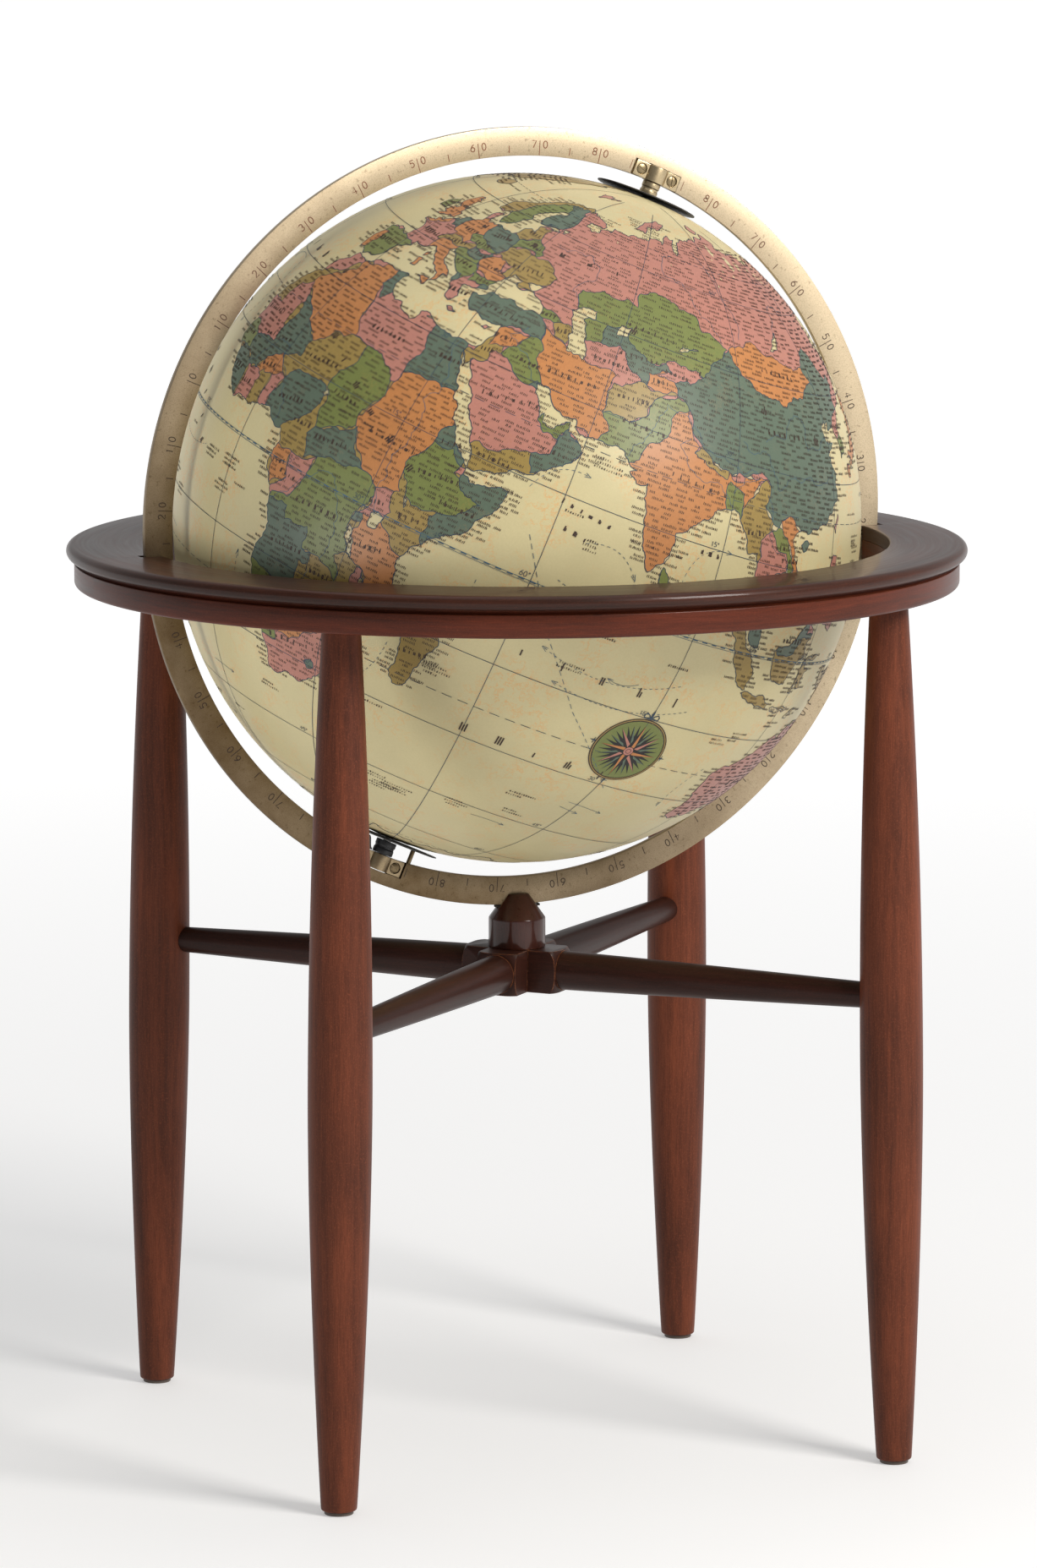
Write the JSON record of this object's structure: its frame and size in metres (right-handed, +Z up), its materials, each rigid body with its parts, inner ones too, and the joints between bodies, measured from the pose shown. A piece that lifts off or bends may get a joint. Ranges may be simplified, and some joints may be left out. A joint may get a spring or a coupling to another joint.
{
  "type": "floor globe",
  "caption": "Floor-standing world globe: a large ball spins on a tilted polar axle in a full brass meridian ring, which slides in a cradle post and a round wooden horizon on turned legs.",
  "frame": {"origin": "centre of the stand on the floor, under the centre of the ball", "axes": "+Z up; the meridian ring lies in the XZ plane, its engraved face looks along -Y, and the north pole leans towards +X"},
  "size_m": [0.665, 0.665, 0.9715],
  "materials": {
    "mahogany_lacquer": "stained and lacquered, glossy on the horizon, satin on the legs, with edges worn lighter",
    "satin_brass": "satin, lightly brushed and aged",
    "old_brass": "darkened, slotted screws",
    "zinc_steel": "zinc plated",
    "black_plastic": "black, satin",
    "black_steel": "blackened spring steel",
    "dark_felt": "dark felt",
    "nylon": "moulded nylon",
    "printed_globe": "printed antique-style world map under a satin varnish",
    "grey_card": "pressed card"
  },
  "bodies": {
    "stand": {"horizon_board_front_left": "mahogany_lacquer", "horizon_board_front_right": "mahogany_lacquer", "horizon_board_back_right": "mahogany_lacquer", "horizon_board_back_left": "mahogany_lacquer", "horizon_apron_front_left": "mahogany_lacquer", "horizon_apron_front_right": "mahogany_lacquer", "horizon_apron_back_right": "mahogany_lacquer", "horizon_apron_back_left": "mahogany_lacquer", "horizon_screw_1": "zinc_steel", "horizon_screw_2": "zinc_steel", "horizon_screw_3": "zinc_steel", "horizon_screw_4": "zinc_steel", "horizon_screw_5": "zinc_steel", "horizon_screw_6": "zinc_steel", "horizon_screw_7": "zinc_steel", "horizon_screw_8": "zinc_steel", "leg_front_left": "mahogany_lacquer", "leg_front_right": "mahogany_lacquer", "leg_back_right": "mahogany_lacquer", "leg_back_left": "mahogany_lacquer", "leg_bolt_front_left": "zinc_steel", "leg_bolt_front_right": "zinc_steel", "leg_bolt_back_right": "zinc_steel", "leg_bolt_back_left": "zinc_steel", "foot_glide_front_left": "nylon", "foot_glide_front_right": "nylon", "foot_glide_back_right": "nylon", "foot_glide_back_left": "nylon", "stretcher_rising": "mahogany_lacquer", "stretcher_falling": "mahogany_lacquer", "cradle_post": "mahogany_lacquer", "cradle_pad": "dark_felt", "cradle_screw": "zinc_steel", "notch_liner_right": "dark_felt", "notch_liner_left": "dark_felt"},
    "meridian": {"meridian_ring": "satin_brass", "north_bracket": "satin_brass", "south_bracket": "satin_brass", "north_bracket_screw_left": "old_brass", "north_bracket_screw_right": "old_brass", "south_bracket_screw_left": "old_brass", "south_bracket_screw_right": "old_brass", "north_collar": "satin_brass", "south_collar": "black_plastic", "polar_axle": "zinc_steel", "brake_pin": "old_brass", "leaf_spring": "black_steel"},
    "globe": {"north_hemisphere": "printed_globe", "south_hemisphere": "printed_globe", "equator_hoop": "grey_card", "north_pole_bush": "nylon", "south_pole_bush": "nylon", "friction_disc": "black_plastic"},
    "dial": {"hour_dial": "black_plastic"}
  },
  "joints": [
    {"name": "meridian_tilt", "type": "hinge", "parent": "stand", "child": "meridian", "pos_m": [0, 0, 0.683], "axis": [0, 1, 0], "range_deg": [-98, 51]},
    {"name": "globe_spin", "type": "hinge", "parent": "meridian", "child": "globe", "pos_m": [0, 0, 0.683], "axis": [0.3987, 0, 0.9171], "continuous": true},
    {"name": "dial_turn", "type": "hinge", "parent": "meridian", "child": "dial", "pos_m": [0, 0, 0.683], "axis": [0.3987, 0, 0.9171], "continuous": true}
  ]
}
